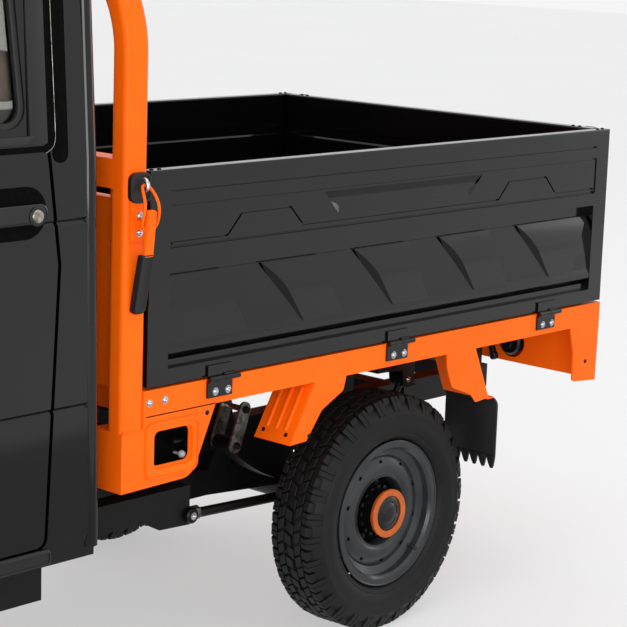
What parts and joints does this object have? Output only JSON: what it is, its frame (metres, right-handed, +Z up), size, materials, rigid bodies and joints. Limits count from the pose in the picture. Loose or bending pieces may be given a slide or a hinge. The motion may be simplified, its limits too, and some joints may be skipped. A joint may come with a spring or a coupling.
{
  "type": "electric mini truck",
  "caption": "Small electric truck with a two-seat cab, a tubular hoop behind it, steered front wheels, and a bed with fold-down sides and tailgate.",
  "frame": {"origin": "on the ground, under the middle of the vehicle's overall length and width", "axes": "+X forward, +Y to the left, +Z up"},
  "size_m": [3.0287, 1.46, 1.645],
  "materials": {
    "black_paint": "satin",
    "battery_case": "satin",
    "spring_steel": "satin",
    "shackle_steel": "satin",
    "cast_grey": "matte",
    "orange_paint": "gloss",
    "bed_black": "satin",
    "black_rubber": "matte",
    "lamp_red": "gloss",
    "cab_black": "gloss",
    "glass": "gloss",
    "black_plastic": "matte",
    "seat_cover": "matte",
    "lamp_clear": "gloss",
    "tyre": "matte",
    "wheel_grey": "satin"
  },
  "bodies": {
    "truck": {"battery_box": "battery_case", "bed_floor": "bed_black", "bed_frame": "orange_paint", "bed_hinges": "bed_black", "cab_floor": "cab_black", "cab_front": "cab_black", "cab_rear": "cab_black", "cab_roof": "cab_black", "chassis_frame": "black_paint", "corner_boxes": "orange_paint", "dashboard": "black_plastic", "fixed_windows": "glass", "front_bumper": "black_plastic", "front_suspension": "black_paint", "headboard": "orange_paint", "headlamps": "lamp_clear", "hoop": "orange_paint", "hoop_latches": "orange_paint", "locating_rods": "black_paint", "mud_flaps": "black_rubber", "rack_housing": "black_paint", "rear_axle": "black_paint", "rear_shocks": "black_paint", "rear_springs": "spring_steel", "seat_backs": "seat_cover", "seat_cushions": "seat_cover", "spring_shackles": "shackle_steel", "tail_lamps": "lamp_red", "tail_panel": "orange_paint", "wheel_guards": "orange_paint"},
    "wheel_front_left": {"tyre_front_left": "tyre", "wheel_front_left": "wheel_grey"},
    "wheel_front_right": {"tyre_front_right": "tyre", "wheel_front_right": "wheel_grey"},
    "wheel_rear_left": {"tyre_rear_left": "tyre", "wheel_rear_left": "wheel_grey"},
    "wheel_rear_right": {"tyre_rear_right": "tyre", "wheel_rear_right": "wheel_grey"},
    "knuckle_left": {"knuckle_left": "cast_grey"},
    "knuckle_right": {"knuckle_right": "cast_grey"},
    "steering_rack": {"steering_rack": "shackle_steel"},
    "steering_wheel": {"steering_wheel": "black_plastic"},
    "door_left": {"door_left": "cab_black", "door_glass_left": "glass", "mirror_left": "black_plastic"},
    "door_right": {"door_right": "cab_black", "door_glass_right": "glass", "mirror_right": "black_plastic"},
    "side_panel_left": {"side_panel_left": "bed_black"},
    "side_panel_right": {"side_panel_right": "bed_black"},
    "tailgate": {"tailgate": "bed_black", "tail_latches": "bed_black"}
  },
  "joints": [
    {"name": "steer_left", "type": "hinge", "parent": "truck", "child": "knuckle_left", "pos_m": [1.084, 0.352, 0.273], "axis": [0, 0, 1], "range_deg": [-30, 30]},
    {"name": "steer_right", "type": "hinge", "parent": "truck", "child": "knuckle_right", "pos_m": [1.084, -0.352, 0.273], "axis": [0, 0, 1], "range_deg": [-30, 30]},
    {"name": "rack_slide", "type": "slide", "parent": "truck", "child": "steering_rack", "axis": [0, -1, 0], "range_m": [-0.0555, 0.0555]},
    {"name": "steering_wheel_turn", "type": "hinge", "parent": "truck", "child": "steering_wheel", "pos_m": [1.01, 0.245, 1.005], "axis": [-0.8, 0, 0.6], "range_deg": [-481, 481]},
    {"name": "spin_front_left", "type": "hinge", "parent": "knuckle_left", "child": "wheel_front_left", "pos_m": [1.084, 0.453, 0.273], "axis": [0, 1, 0], "continuous": true},
    {"name": "spin_front_right", "type": "hinge", "parent": "knuckle_right", "child": "wheel_front_right", "pos_m": [1.084, -0.453, 0.273], "axis": [0, 1, 0], "continuous": true},
    {"name": "spin_rear_left", "type": "hinge", "parent": "truck", "child": "wheel_rear_left", "pos_m": [-0.746, 0.453, 0.273], "axis": [0, 1, 0], "continuous": true},
    {"name": "spin_rear_right", "type": "hinge", "parent": "truck", "child": "wheel_rear_right", "pos_m": [-0.746, -0.453, 0.273], "axis": [0, 1, 0], "continuous": true},
    {"name": "door_left_hinge", "type": "hinge", "parent": "truck", "child": "door_left", "pos_m": [1.056, 0.567, 0.8], "axis": [0, 0, -1], "range_deg": [0, 65]},
    {"name": "door_right_hinge", "type": "hinge", "parent": "truck", "child": "door_right", "pos_m": [1.056, -0.567, 0.8], "axis": [0, 0, 1], "range_deg": [0, 65]},
    {"name": "side_panel_left_hinge", "type": "hinge", "parent": "truck", "child": "side_panel_left", "pos_m": [-0.7, 0.559, 0.686], "axis": [-1, 0, 0], "range_deg": [0, 175]},
    {"name": "side_panel_right_hinge", "type": "hinge", "parent": "truck", "child": "side_panel_right", "pos_m": [-0.7, -0.559, 0.686], "axis": [1, 0, 0], "range_deg": [0, 175]},
    {"name": "tailgate_hinge", "type": "hinge", "parent": "truck", "child": "tailgate", "pos_m": [-1.494, 0, 0.686], "axis": [0, -1, 0], "range_deg": [0, 175]}
  ],
  "couplings": [
    {"joint": "steer_right", "follows": "steer_left", "ratio": 1},
    {"joint": "rack_slide", "follows": "steer_left", "m_per_rad": 0.105},
    {"joint": "steering_wheel_turn", "follows": "steer_left", "ratio": 16}
  ]
}
